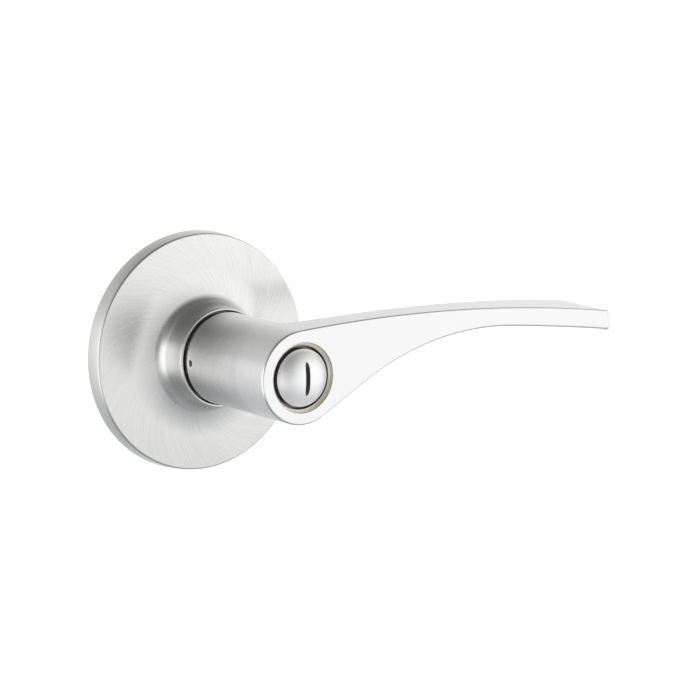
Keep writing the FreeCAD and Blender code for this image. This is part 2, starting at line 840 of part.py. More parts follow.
def make_driver_cam():
    """A plate pressed on the sleeve behind the mounting plate; its lug works the return spring."""
    body = new_body("driver_cam")
    back = size("cam_front") - size("cam_thickness")
    plate = new_sketch(body, "plate_circles", "XZ_Plane", back)
    add_circle(plate, 0, 0, size("cam_radius"))
    add_circle(plate, 0, 0, size("sleeve_radius") + size("fit_gap"))
    extrude(body, "plate", plate, size("cam_thickness"))
    half_width = size("lug_width") / 2
    arm = new_sketch(body, "arm_outline", "XZ_Plane", back)
    arm_root = size("cam_radius") - OVERRUN
    add_outline(arm, [(-half_width, arm_root), (half_width, arm_root),
                      (half_width, size("lug_outer")), (-half_width, size("lug_outer"))])
    extrude(body, "arm", arm, size("cam_thickness"))
    lug = new_sketch(body, "lug_outline", "XZ_Plane", back)
    add_outline(lug, [(-half_width, size("lug_inner")), (half_width, size("lug_inner")),
                      (half_width, size("lug_outer")), (-half_width, size("lug_outer"))])
    extrude(body, "lug", lug, size("lug_front") - back)
    return body


def make_split_ring(label, bore, radius, front, thickness):
    """A flat ring with a gap at the bottom, as a snap ring has."""
    body = new_body(label)
    ring = new_sketch(body, "ring_circles", "XZ_Plane", front)
    add_circle(ring, 0, 0, radius)
    add_circle(ring, 0, 0, bore)
    extrude(body, "ring", ring, thickness, reverse=True)
    half_gap = bore * RING_GAP
    gap = new_sketch(body, "gap_outline", "XZ_Plane", front)
    bottom = -radius - OVERRUN
    add_outline(gap, [(-half_gap, bottom), (half_gap, bottom), (half_gap, -half_gap), (-half_gap, -half_gap)])
    cut_through(body, "gap", gap)
    return body


def make_ring(label, bore, radius, back, front):
    """A plain washer as a tube between two planes."""
    outer = doc.addObject("Part::Cylinder", f"{label}_disc")
    inner = doc.addObject("Part::Cylinder", f"{label}_bore")
    for piece, piece_radius in ((outer, radius), (inner, bore)):
        bind(piece, "Radius", piece_radius)
        bind(piece, "Height", front - back)
        piece.Placement = towards_room()
        bind(piece, "Placement.Base.y", -back)
    ring = doc.addObject("Part::Cut", label)
    ring.Label = label
    ring.Base, ring.Tool = outer, inner
    doc.recompute()
    return ring


# ---- lever catch ----

def make_lever_catch():
    """The brass pin that locks the lever on the sleeve; a tool through the pinhole presses it in."""
    body = new_body("lever_catch")
    flange = new_sketch(body, "flange_circle", "YZ_Plane", -size("catch_flange_outer"))
    add_circle(flange, -size("catch_front"), 0, size("catch_flange_radius"))
    extrude(body, "flange", flange, size("catch_flange_thickness"))
    pin = new_sketch(body, "pin_circle", "YZ_Plane", -size("catch_flange_outer"))
    add_circle(pin, -size("catch_front"), 0, size("catch_radius"))
    extrude(body, "pin", pin, size("catch_end") - size("catch_flange_outer"), reverse=True)

    def at_nose(edge):
        return edge.BoundBox.XMax < -size("catch_end").value + 0.01

    round_edges(body, "nose", size("catch_nose_round"), at_nose)
    return body


def make_catch_spring():
    """A bent leaf inside the sleeve that holds the catch out."""
    body = new_body("catch_spring")
    thick = size("leaf_thickness")
    wall = -(size("sleeve_bore") - size("leaf_wall_gap"))
    under = -(size("catch_flange_outer") - size("catch_flange_thickness") - size("leaf_catch_gap"))
    leaf = new_sketch(body, "leaf_outline", "XY_Plane")
    anchor, bend, end = (-size(name) for name in ("leaf_anchor_front", "leaf_bend_front", "leaf_end_front"))
    middle = bend + size("leaf_rise")
    add_outline(leaf, [(wall, anchor), (wall + thick, anchor), (wall + thick, bend), (under + thick, middle),
                       (under + thick, end), (under, end), (under, middle), (wall, bend)])
    extrude(body, "leaf", leaf, size("leaf_width"), middle=True)
    return body


# ---- privacy turn ----

def make_privacy_bezel():
    """The ring in the lever's recess whose cone leads down to the turn button."""
    body = new_body("privacy_bezel")
    spin(body, "ring", [
        (size("bezel_bore"), size("bezel_back")),
        (size("bezel_radius"), size("bezel_back")),
        (size("bezel_radius"), size("bezel_front")),
        (size("bezel_lip"), size("bezel_front")),
        (size("bezel_bore"), size("bezel_cone_front")),
    ])
    return body


def make_turn_button():
    """A domed button with a coin slot, on a stem that turns in the insert housing."""
    body = new_body("turn_button")
    rim, stem = size("button_radius"), size("stem_radius")
    rise = size("button_apex") - size("button_rim_front")
    inset = rim - size("button_rim_edge")
    dome = (inset * inset + rise * rise) / (rise * 2)
    groove, half_groove = size("turn_groove_front"), size("turn_groove_width") / 2
    clip_front = size("turn_clip_front") + size("turn_clip_play")
    clip_back = size("turn_clip_front") - size("turn_clip_thickness") - size("turn_clip_play")
    spin(body, "turned", [
        (0, size("stem_back")),
        (stem, size("stem_back")),
        (stem, clip_back),
        (size("turn_clip_groove"), clip_back),
        (size("turn_clip_groove"), clip_front),
        (stem, clip_front),
        (stem, groove - half_groove),
        (size("turn_groove_radius"), groove - half_groove),
        (size("turn_groove_radius"), groove + half_groove),
        (stem, groove + half_groove),
        (stem, size("button_back")),
        (rim, size("button_back")),
        (rim, size("button_rim_front") - size("button_rim_edge"), size("button_rim_edge"), 1),
        (inset, size("button_rim_front"), dome, 1),
        (0, size("button_apex")),
    ])
    cutter = size("coin_slot_cutter")
    disc = new_sketch(body, "coin_cutter", "YZ_Plane")
    add_circle(disc, -(size("button_apex") - size("coin_slot_depth") + cutter), 0, cutter)
    extrude(body, "coin_slot", disc, size("coin_slot_width"), "PartDesign::Pocket", middle=True)
    seat = new_sketch(body, "blade_seat_outline", "XZ_Plane", size("torque_blade_front") + size("fit_gap"))
    gap = size("fit_gap")
    add_outline(seat, rectangle_corners(size("torque_blade_thickness") / 2 + gap,
                                          size("torque_blade_width") / 2 + gap))
    extrude(body, "blade_seat", seat, size("button_back"), "PartDesign::Pocket")
    return body


def make_torque_blade():
    """The flat bar that carries the button's quarter turn through the spindle to the inside."""
    body = new_body("torque_blade")
    section = new_sketch(body, "section", "XZ_Plane", size("torque_blade_front"))
    half_thickness, half_width = size("torque_blade_thickness") / 2, size("torque_blade_width") / 2
    add_outline(section, rectangle_corners(half_thickness, half_width))
    extrude(body, "bar", section, size("torque_blade_length"), reverse=True)

    def at_door_end(edge):
        box = edge.BoundBox
        end = -(size("torque_blade_front") - size("torque_blade_length")).value
        return box.YMin > end - 0.01 and box.XLength > 0.5

    round_edges(body, "lead_in", size("tip_corner"), at_door_end, "PartDesign::Chamfer", "Size")
    return body


def make_insert_housing():
    """The plug behind the bezel in which the button's stem turns, with a hole for the detent."""
    body = new_body("insert_housing")
    bore = size("stem_radius") + size("running_gap")
    spin(body, "plug", [
        (bore, size("housing_back")),
        (size("housing_radius"), size("housing_back")),
        (size("housing_radius"), size("housing_front")),
        (bore, size("housing_front")),
    ])
    hole = new_sketch(body, "detent_circle", "XY_Plane")
    add_circle(hole, 0, -size("turn_groove_front"), size("ball_hole"))
    extrude(body, "detent_hole", hole, size("housing_radius") + OVERRUN, "PartDesign::Pocket", reverse=True)
    return body


def make_detent_ball():
    ball = doc.addObject("Part::Sphere", "detent_ball")
    ball.Label = "detent_ball"
    bind(ball, "Radius", size("ball_radius"))
    place_on_axis_circle(ball, 90.0, size("ball_place"), size("turn_groove_front"))
    return ball


def make_detent_spring():
    """A small coil between the ball and the neck's wall, standing along +Z."""
    margin = size("ball_spring_wire") + size("ball_spring_gap")
    low = size("ball_place") + size("ball_radius") + margin
    high = size("housing_radius") - margin
    line = doc.addObject("Part::Helix", "detent_spring_line")
    bind(line, "Radius", size("ball_spring_radius"))
    bind(line, "Height", high - low)
    bind(line, "Pitch", (high - low) / size("ball_spring_turns"))
    section = doc.addObject("Part::Circle", "detent_spring_section")
    bind(section, "Radius", size("ball_spring_wire"))
    section.Placement = towards_room()
    bind(section, "Placement.Base.x", size("ball_spring_radius"))
    doc.recompute()
    spring = doc.addObject("Part::Sweep", "detent_spring")
    spring.Label = "detent_spring"
    spring.Sections = [section]
    spring.Spine = (line, [])
    spring.Solid = True
    spring.Frenet = True
    bind(spring, "Placement.Base.y", -size("turn_groove_front"))
    bind(spring, "Placement.Base.z", low)
    doc.recompute()
    return spring


# ---- build, check and write ----

def check(parts):
    for thing in doc.Objects:
        if "Invalid" in thing.State or "Error" in thing.State:
            raise RuntimeError(f"{thing.Name} failed: {thing.State}")
    for part in parts:
        if part.Shape.isNull() or not part.Shape.isValid():
            raise RuntimeError(f"{part.Label} has no valid shape")


sheet = make_sheet()
sleeve_seat = size("sleeve_radius") + size("fit_gap")
cam_back = size("cam_front") - size("cam_thickness")
parts = [
    make_rose_cover(),
    make_mounting_plate(),
    make_bearing_collar(),
    make_nylon_bushing(),
    make_through_post("through_post_left", -1),
    make_through_post("through_post_right", 1),
    make_collar_screws(),
    make_return_spring(),
    make_lever(),
    make_drive_sleeve(),
    make_drive_plug(),
    make_spindle(),
    make_driver_cam(),
    make_ring("thrust_washer", sleeve_seat, size("bushing_rim"),
              size("neck_rear") - size("thrust_washer_thickness"), size("neck_rear")),
    make_ring("retainer_washer", sleeve_seat, size("washer_radius"), size("clip_groove_front"), cam_back),
    make_split_ring("circlip", size("clip_groove_radius") + size("fit_gap"), size("clip_radius"),
                    size("clip_groove_front") - size("clip_play"), size("clip_thickness")),
    make_lever_catch(),
    make_catch_spring(),
    make_privacy_bezel(),
    make_turn_button(),
    make_torque_blade(),
    make_split_ring("turn_clip", size("turn_clip_groove") + size("fit_gap"), size("turn_clip_radius"),
                    size("turn_clip_front"), size("turn_clip_thickness")),
    make_insert_housing(),
    make_detent_ball(),
    make_detent_spring(),
]
doc.recompute()
check(parts)
os.makedirs("parts", exist_ok=True)
for part in parts:
    part.Shape.exportStep(f"parts/{part.Label}.step")
    box = part.Shape.BoundBox
    print(f"{part.Label}: {part.Shape.Volume:.1f} mm3, {len(part.Shape.Solids)} solid(s), "
          f"{box.XLength:.2f} x {box.YLength:.2f} x {box.ZLength:.2f} mm")
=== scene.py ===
import json
import math

import bmesh
import bpy
from mathutils import Matrix, Vector
from mathutils.geometry import delaunay_2d_cdt


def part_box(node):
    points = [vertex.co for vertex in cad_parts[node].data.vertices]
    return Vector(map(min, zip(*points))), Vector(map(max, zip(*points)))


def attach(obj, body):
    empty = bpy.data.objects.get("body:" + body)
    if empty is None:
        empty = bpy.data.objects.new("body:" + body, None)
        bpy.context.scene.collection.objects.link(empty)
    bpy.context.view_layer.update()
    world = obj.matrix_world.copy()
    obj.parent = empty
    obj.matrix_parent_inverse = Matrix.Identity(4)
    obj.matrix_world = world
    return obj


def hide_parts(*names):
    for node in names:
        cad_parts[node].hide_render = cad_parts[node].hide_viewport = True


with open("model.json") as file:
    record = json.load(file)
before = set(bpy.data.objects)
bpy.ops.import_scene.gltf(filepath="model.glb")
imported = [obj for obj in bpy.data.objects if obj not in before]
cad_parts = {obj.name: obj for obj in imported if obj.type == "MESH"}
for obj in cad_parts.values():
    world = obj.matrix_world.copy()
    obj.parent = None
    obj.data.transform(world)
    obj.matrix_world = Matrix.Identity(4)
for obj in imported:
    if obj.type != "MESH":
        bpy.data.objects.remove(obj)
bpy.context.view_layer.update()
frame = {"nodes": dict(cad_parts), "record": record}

# The outside half of a privacy door lever set. Shapes are worked out in millimetres and written in metres.
# Along the spindle axis places are given as "front": the distance out of the door's face, so front is -Y.
MM = 0.001


def reach(node):
    """A node's greatest radius or X, and its front and back ends, in millimetres."""
    low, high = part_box(node)
    return high.x / MM, -low.y / MM, -high.y / MM


ROSE_RADIUS, COLLAR_FRONT, _ = reach("rose_cover")
TIP, FACE, NECK_REAR = reach("lever")
BEZEL_RADIUS, BEZEL_FRONT, BEZEL_BACK = reach("privacy_bezel")
BUTTON_RADIUS, BUTTON_APEX, STEM_BACK = reach("turn_button")

# rose
ROSE_EDGE = ROSE_RADIUS - 0.45
ROSE_DEPTH = 5.15
ROSE_SLOPE = math.tan(math.radians(4.0))
ROSE_WALL = 0.7
COLLAR_RADIUS = 13.95
COLLAR_DRAFT = 0.6
TRUMPET = 4.3
TRUMPET_FOOT = 20.2
TRUMPET_FOOT_CURVE = 22.0
TRUMPET_RISE = math.radians(24.0)

# lever
HEAD = 13.0
WAIST_CURVE = 820.0
TAIL_RADIUS = 12.7
CHAMFER_FRONT = 17.9
STRAIGHT_REAR = 18.6
BLADE = 11.2
BLADE_BACK = FACE - BLADE
WEB_FILLET = 3.0
FILLET_BOTTOM = BLADE_BACK - WEB_FILLET
TOP_PEAK = 37.0
TOP_CURVE = 450.0
UNDER_ANGLE = math.radians(30.6)
UNDER_PEAK = 62.3
UNDER_CURVE = 82.2
UNDER_TURN = math.radians(5.2)
TAIL_CURVE = 700.0
TIP_FRONT = TIP - 2.1
TIP_CORNER = 1.2
TIP_RUN_IN = 0.4
FLARE_START = 25.0
FLARE_CURVE = 237.0
FACE_ROUND = 0.55
BACK_ROUND = 0.9
BACK_ROUND_START = 2.0
BACK_ROUND_RUN = 16.0
RECESS = 9.66
RECESS_FLOOR = 44.0
BORE = 8.03
RELIEF = 9.0
SHOULDER = 6.4
SHOULDER_REAR = 42.0
PINHOLE = 0.95
PINHOLE_FRONT = 20.2
CATCH_SEAT = 1.56
CATCH_SEAT_RADIUS = 11.4

# the lever's mesh: the blade's edges step together from JOIN_X on, and the pinhole sits in a patch of its own
JOIN_X = 40.0
COLUMNS = 96
PATCH_HALF = 6
PATCH_ROW = 0.24
SEAT_HALF = 16
SEAT_REACH = 3.0

# privacy turn
RING_CLEARANCE = 0.03
RING_LIP = 0.21
RING_STEP = 9.38
RING_STEP_FRONT = 56.8
RING_BORE = 8.74
RING_BORE_FRONT = 56.42
DOME_EDGE = BUTTON_RADIUS - 0.35
DOME_EDGE_FRONT = 57.15
DOME_POWER = 2.7
RIM_BACK = 56.95
BUTTON_NECK = 7.9
BUTTON_BACK = 54.3
STEM = 3.5
DETENT_GROOVE = 2.9
CLIP_GROOVE = 2.7
BLADE_SOCKET = 2.3
BLADE_SOCKET_FRONT = 47.4
SLOT_HALF_WIDTH = 0.71
SLOT_HALF_LENGTH = 4.8
SLOT_DEPTH = 2.5
SLOT_CUTTER = 7.2
SLOT_CUTTER_ROUND = 1.9


# ---- mesh building ----

class Skin:
    """Points and faces of one closed surface, gathered ring by ring, in millimetres."""

    def __init__(self):
        self.points = []
        self.faces = []

    def ring(self, points):
        start = len(self.points)
        self.points.extend(points)
        return list(range(start, len(self.points)))

    def join(self, first, second, closed=True, skip=()):
        """Quads between two rings of one length."""
        count = len(first)
        for index in range(count if closed else count - 1):
            if index in skip:
                continue
            following = (index + 1) % count
            self.faces.append((first[index], first[following], second[following], second[index]))

    def fill(self, outer, inner, flat):
        """Triangles between a closed outer ring and a closed inner ring, laid out in a plane by flat."""
        ids = outer + inner
        places = [Vector(flat(self.points[item])) for item in ids]
        loops = (range(len(outer)), range(len(outer), len(ids)))
        edges = [(loop[index], loop[(index + 1) % len(loop)]) for loop in loops for index in range(len(loop))]
        _, _, triangles, sources, _, _ = delaunay_2d_cdt(places, edges, [], 0, 1e-7)
        outline = [places[index] for index in loops[0]]
        hole = [places[index] for index in loops[1]]
        for triangle in triangles:
            corners = [sources[corner][0] for corner in triangle]
            middle = sum((places[corner] for corner in corners), Vector((0, 0))) / 3
            if inside(middle, outline) and not (hole and inside(middle, hole)):
                self.faces.append(tuple(ids[corner] for corner in corners))

    def build(self, name, sharp=38.0):
        mesh = bpy.data.meshes.new(name)
        mesh.from_pydata([Vector(point) * MM for point in self.points], [], self.faces)
        piece = bpy.data.objects.new(name, mesh)
        bpy.context.scene.collection.objects.link(piece)
        clean(piece, sharp)
        return piece


def inside(place, outline):
    found = False
    before = outline[-1]
    for corner in outline:
        if (corner.y > place.y) != (before.y > place.y):
            crossing = corner.x + (place.y - corner.y) * (before.x - corner.x) / (before.y - corner.y)
            if place.x < crossing:
                found = not found
        before = corner
    return found


def clean(piece, sharp):
    """Welds the mesh, turns its faces outwards and shades it smooth except at its sharp edges."""
    work = bmesh.new()
    work.from_mesh(piece.data)
    bmesh.ops.remove_doubles(work, verts=work.verts, dist=0.002 * MM)
    bmesh.ops.dissolve_degenerate(work, edges=work.edges, dist=0.001 * MM)
    bmesh.ops.recalc_face_normals(work, faces=work.faces)
    for face in work.faces:
        face.smooth = True
    work.to_mesh(piece.data)
    work.free()
    piece.data.set_sharp_from_angle(angle=math.radians(sharp))


def soften(corners, closed=True):
    """An outline with its corners rounded. A corner is (a, b, radius)."""
    outline = []
    count = len(corners)
    for index, (a, b, radius) in enumerate(corners):
        corner = Vector((a, b))
        if radius <= 0 or (not closed and index in (0, count - 1)):
            outline.append(corner)
            continue
        back = (Vector(corners[index - 1][:2]) - corner).normalized()
        ahead = (Vector(corners[(index + 1) % count][:2]) - corner).normalized()
        half = back.angle(ahead) / 2
        middle = corner + (back + ahead).normalized() * (radius / math.sin(half))
        start = corner + back * (radius / math.tan(half)) - middle
        end = corner + ahead * (radius / math.tan(half)) - middle
        sweep = start.angle_signed(end)
        steps = max(5, round(abs(sweep) * (4.0 + 4.0 * math.sqrt(radius))))
        for step in range(steps + 1):
            turned = start.copy()
            turned.rotate(Matrix.Rotation(-sweep * step / steps, 2))
            outline.append(middle + turned)
    return outline


def turned(radius, angle, front):
    return radius * math.cos(angle), -front, radius * math.sin(angle)


def even_angles(count):
    return [2 * math.pi * index / count for index in range(count)]


def revolve(name, outline, count=320, sharp=38.0):
    """A closed outline of (radius, front) spun about the spindle axis."""
    skin = Skin()
    angles = even_angles(count)
    rings = [skin.ring([turned(place[0], angle, place[1]) for angle in angles]) for place in outline]
    for index, ring in enumerate(rings):
        skin.join(ring, rings[(index + 1) % len(rings)])
    return skin.build(name, sharp)


def spread(start, end, count):
    return [start + (end - start) * index / count for index in range(count + 1)]


def smooth_step(value):
    value = min(max(value, 0.0), 1.0)
    return value * value * (3 - 2 * value)


# ---- rose ----

def rose_face(radius):
    return ROSE_DEPTH + (ROSE_EDGE - 0.8 - radius) * ROSE_SLOPE


def rose_cone(radius):
    return rose_face(TRUMPET_FOOT) + (TRUMPET_FOOT - radius) * math.tan(TRUMPET_RISE)


def make_rose():
    """Rim, sloping face, trumpet and rolled lip, all one wall thick."""
    wall = ROSE_WALL
    inner = COLLAR_RADIUS - wall
    deeper = wall / math.cos(TRUMPET_RISE)
    inner_foot = TRUMPET_FOOT - (deeper - wall) / (math.tan(TRUMPET_RISE) - ROSE_SLOPE)
    groove = COLLAR_FRONT - 0.85
    return revolve("rose", soften([
        (ROSE_RADIUS, 0.0, 0.12),
        (ROSE_EDGE, rose_face(ROSE_EDGE), 0.62),
        (TRUMPET_FOOT, rose_face(TRUMPET_FOOT), TRUMPET_FOOT_CURVE),
        (COLLAR_RADIUS + COLLAR_DRAFT, rose_cone(COLLAR_RADIUS + COLLAR_DRAFT), TRUMPET),
        (COLLAR_RADIUS, groove - 0.12, 0.05),
        (COLLAR_RADIUS - 0.12, groove, 0.05),
        (COLLAR_RADIUS + 0.05, groove + 0.12, 0.08),
        (COLLAR_RADIUS + 0.05, COLLAR_FRONT, 0.38),
        (inner, COLLAR_FRONT, 0.2),
        (inner + COLLAR_DRAFT, rose_cone(inner + COLLAR_DRAFT) - deeper, TRUMPET + wall),
        (inner_foot, rose_face(inner_foot) - wall, TRUMPET_FOOT_CURVE + wall),
        (ROSE_EDGE - wall, rose_face(ROSE_EDGE) - wall, 0.3),
        (ROSE_RADIUS - wall, 0.0, 0.12),
    ]), 512)


# ---- lever ----

def top_edge(x):
    drop = math.sqrt((TOP_CURVE - HEAD) ** 2 - TOP_PEAK ** 2)
    return math.sqrt(TOP_CURVE ** 2 - (x - TOP_PEAK) ** 2) - drop


def under_edge(x):
    """The underside: a line that leaves the head, an arc over its crest, and a long shallow tail."""
    sine, cosine = math.sin(UNDER_ANGLE), math.cos(UNDER_ANGLE)
    centre = (UNDER_PEAK * sine - HEAD - UNDER_CURVE) / cosine
    if x < UNDER_PEAK - UNDER_CURVE * sine:
        return (x * sine - HEAD) / cosine
    turn_x = UNDER_PEAK + UNDER_CURVE * math.sin(UNDER_TURN)
    if x < turn_x:
        return centre + math.sqrt(UNDER_CURVE ** 2 - (x - UNDER_PEAK) ** 2)
    tail_x = turn_x - TAIL_CURVE * math.sin(UNDER_TURN)
    tail_z = centre + (UNDER_CURVE - TAIL_CURVE) * math.cos(UNDER_TURN)
    return tail_z + math.sqrt(TAIL_CURVE ** 2 - (x - tail_x) ** 2)


def at_radius(edge, start, radius):
    """Where an edge of the blade stands at a distance from the spindle axis."""
    low, high = start, JOIN_X
    for _ in range(40):
        middle = (low + high) / 2
        if math.hypot(middle, edge(middle)) < radius:
            low = middle
        else:
            high = middle
    return low


def blade_back(x, z):
    """Front of the blade's back surface: flat, flaring to the tip, with a fillet where it meets the neck."""
    front = BLADE_BACK
    if x > FLARE_START:
        front -= FLARE_CURVE - math.sqrt(FLARE_CURVE ** 2 - (x - FLARE_START) ** 2)
    short = HEAD + WEB_FILLET - math.hypot(x, z)
    if short > 0:
        short = min(short, WEB_FILLET)
        front -= WEB_FILLET - math.sqrt(WEB_FILLET ** 2 - short ** 2)
    return front


def neck_radius(front):
    middle = (BLADE_BACK + STRAIGHT_REAR) / 2
    half = (BLADE_BACK - STRAIGHT_REAR) / 2
    if abs(front - middle) > half:
        return HEAD
    end_drop = math.sqrt(WAIST_CURVE ** 2 - half ** 2)
    return HEAD + end_drop - math.sqrt(WAIST_CURVE ** 2 - (front - middle) ** 2)


def slant(x, front):
    """The tip leans back towards the room."""
    back = blade_back(TIP, 0.0)
    share = smooth_step((x - (TIP - TIP_CORNER * 2)) / TIP_CORNER)
    return x - share * (TIP - TIP_FRONT) * (front - back) / (FACE - back)


def blade_stations():
    """Pairs of points on the underside and the top edge, from the neck to the tip."""
    low_x, high_x = HEAD * math.sin(UNDER_ANGLE), -TOP_PEAK * HEAD / (TOP_CURVE - HEAD)
    pairs = [(low_x, high_x, 0.0)]
    for turn in spread(0.0, math.pi / 2, 10)[1:]:
        radius = HEAD + WEB_FILLET * (1 - math.cos(turn))
        pairs.append((at_radius(under_edge, low_x, radius), at_radius(top_edge, high_x, radius), 0.0))
    low_x, high_x, _ = pairs[-1]
    for share in spread(0.0, 1.0, 20)[1:]:
        low, high = [start + (JOIN_X - start) * share for start in (low_x, high_x)]
        pairs.append((low, high, smooth_step(share)))
    corner_x = TIP - TIP_CORNER
    for x in spread(JOIN_X, corner_x - TIP_RUN_IN, 44)[1:]:
        pairs.append((x, x, 1.0))
    stations = [(Vector((low, under_edge(low))), Vector((high, top_edge(high))), blend)
                for low, high, blend in pairs]
    for turn in spread(0.0, math.pi / 2, 7):
        x = corner_x + TIP_CORNER * math.sin(turn)
        drop = TIP_CORNER * (1 - math.cos(turn))
        low, high = under_edge(corner_x) + drop, top_edge(corner_x) - drop
        stations.append((Vector((x, low)), Vector((x, high)), 1.0))
    return stations


def across(low, high, blend, share):
    """A point between the two edges: on an arc about the axis near the neck, straight across further out."""
    first, last = math.atan2(low.y, low.x), math.atan2(high.y, high.x)
    angle = first + (last - first) * share
    radius = low.length + (high.length - low.length) * share
    curved = Vector((radius * math.cos(angle), radius * math.sin(angle)))
    return curved.lerp(low.lerp(high, share), blend)


def outward(outline):
    """Unit normals of a closed anticlockwise outline."""
    normals = []
    for index, place in enumerate(outline):
        arriving = place - outline[index - 1]
        leaving = outline[(index + 1) % len(outline)] - place
        along = arriving.normalized() * leaving.length + leaving.normalized() * arriving.length
        normals.append(Vector((along.y, -along.x)).normalized())
    return normals


def lever_walls(skin, outline, on_blade):
    """Bands round the outline, from the rounding at the blade's back to the one at the face."""
    count = len(outline)
    normals = outward(outline)
    roundings = [BACK_ROUND * smooth_step((place.x - BACK_ROUND_START) / BACK_ROUND_RUN)
                 for place in outline[:on_blade]]
    roundings += [0.0] * (count - on_blade)
    bottoms = []
    for index, (place, normal, rounding) in enumerate(zip(outline, normals, roundings)):
        inset = place - normal * rounding
        bottoms.append(blade_back(inset.x, inset.y) + rounding if index < on_blade else FILLET_BOTTOM)

    def band(insets, fronts):
        places = []
        for place, normal, inset, front in zip(outline, normals, insets, fronts):
            shifted = place - normal * inset
            places.append((slant(shifted.x, front), -front, shifted.y))
        return skin.ring(places)

    wall_top = FACE - FACE_ROUND
    bands = []
    for turn in spread(0.0, math.pi / 2, 5)[:-1]:
        insets = [rounding * (1 - math.sin(turn)) for rounding in roundings]
        fronts = [bottom - rounding * math.cos(turn) for bottom, rounding in zip(bottoms, roundings)]
        bands.append(band(insets, fronts))
    for share in spread(0.0, 1.0, 10):
        bands.append(band([0.0] * count, [bottom * (1 - share) + wall_top * share for bottom in bottoms]))
    for turn in spread(0.0, math.pi / 2, 8)[1:]:
        bands.append(band([FACE_ROUND * (1 - math.cos(turn))] * count,
                          [wall_top + FACE_ROUND * math.sin(turn)] * count))
    bands.append(band([FACE_ROUND + 0.1] * count, [FACE] * count))
    for first, second in zip(bands, bands[1:]):
        skin.join(first, second)
    return bands


def lever_back(skin, edge, stations):
    """The blade's back surface, row by row to the tip. Returns the row that lies on the neck."""
    count = len(stations)
    low_side = edge[:count]
    tip_side = edge[count - 1:count + COLUMNS]
    high_side = edge[count + COLUMNS - 1:2 * count + COLUMNS - 1][::-1]
    rows = []
    for low_end, high_end, (_, _, blend) in zip(low_side[:-1], high_side[:-1], stations):
        low, high = [Vector((skin.points[end][0], skin.points[end][2])) for end in (low_end, high_end)]
        middle = []
        for share in spread(0.0, 1.0, COLUMNS)[1:-1]:
            place = across(low, high, blend, share)
            middle.append((place.x, -blade_back(place.x, place.y), place.y))
        rows.append([low_end] + skin.ring(middle) + [high_end])
    rows.append(tip_side)
    for first, second in zip(rows, rows[1:]):
        skin.join(first, second, closed=False)
    return rows[0]


def lever_neck(skin, ring, angles, hole_column):
    """The neck's outside. Returns its last ring and the edge of the patch left open for the pinhole."""
    patch_reach = PATCH_HALF * PATCH_ROW
    fronts = spread(FILLET_BOTTOM, PINHOLE_FRONT + patch_reach, 14)[1:]
    patch_start = len(fronts)
    fronts += spread(PINHOLE_FRONT + patch_reach, PINHOLE_FRONT - patch_reach, 2 * PATCH_HALF)[1:]
    low, high = hole_column - PATCH_HALF, hole_column + PATCH_HALF
    rings = [ring]
    for front in fronts:
        rings.append(skin.ring([turned(neck_radius(front), angle, front) for angle in angles]))
    for index, (first, second) in enumerate(zip(rings, rings[1:])):
        skin.join(first, second, skip=range(low, high) if index >= patch_start else ())
    return rings[-1], patch_loop(rings[patch_start:], low, high)


def catch_seat_wall(skin, ring, angles, hole_column):
    """The bore's wall beside the catch. Returns its last ring and the edge of the seat's open patch."""
    low, high = hole_column - SEAT_HALF, hole_column + SEAT_HALF
    rings = [ring]
    for front in spread(PINHOLE_FRONT - SEAT_REACH, PINHOLE_FRONT + SEAT_REACH, 6)[1:]:
        rings.append(skin.ring([turned(BORE, angle, front) for angle in angles]))
        skin.join(rings[-2], rings[-1], skip=range(low, high))
    return rings[-1], patch_loop(rings, low, high)


def follow(skin, ring, outline, angles):
    """Carries a ring along an outline of (radius, front). Returns the last ring."""
    for radius, front in outline:
        following = skin.ring([turned(radius, angle, front) for angle in angles])
        skin.join(ring, following)
        ring = following
    return ring


def hole_ring(skin, radius, wall):
    """A round hole's edge where the pinhole's axis meets a cylinder about the spindle axis."""
    places = []
    for angle in even_angles(32):
        height, along = radius * math.sin(angle), radius * math.cos(angle)
        places.append((-math.sqrt(wall ** 2 - height ** 2), -(PINHOLE_FRONT + along), height))
    return skin.ring(places)


def unrolled(point):
    """A point on the neck's left side laid out flat."""
    return math.atan2(point[2], -point[0]) * HEAD, point[1]


def pinhole(skin, outer_patch, inner_patch):
    """A hole with a broken edge that widens inside to the catch's seat."""
    mouth = neck_radius(PINHOLE_FRONT)
    steps = [(PINHOLE + 0.14, mouth), (PINHOLE + 0.04, mouth - 0.04), (PINHOLE, mouth - 0.14),
             (PINHOLE, CATCH_SEAT_RADIUS), (CATCH_SEAT, CATCH_SEAT_RADIUS), (CATCH_SEAT, BORE)]
    rings = [hole_ring(skin, radius, wall) for radius, wall in steps]
    skin.fill(outer_patch, rings[0], unrolled)
    for first, second in zip(rings, rings[1:]):
        skin.join(first, second)
    skin.fill(inner_patch, rings[-1], unrolled)


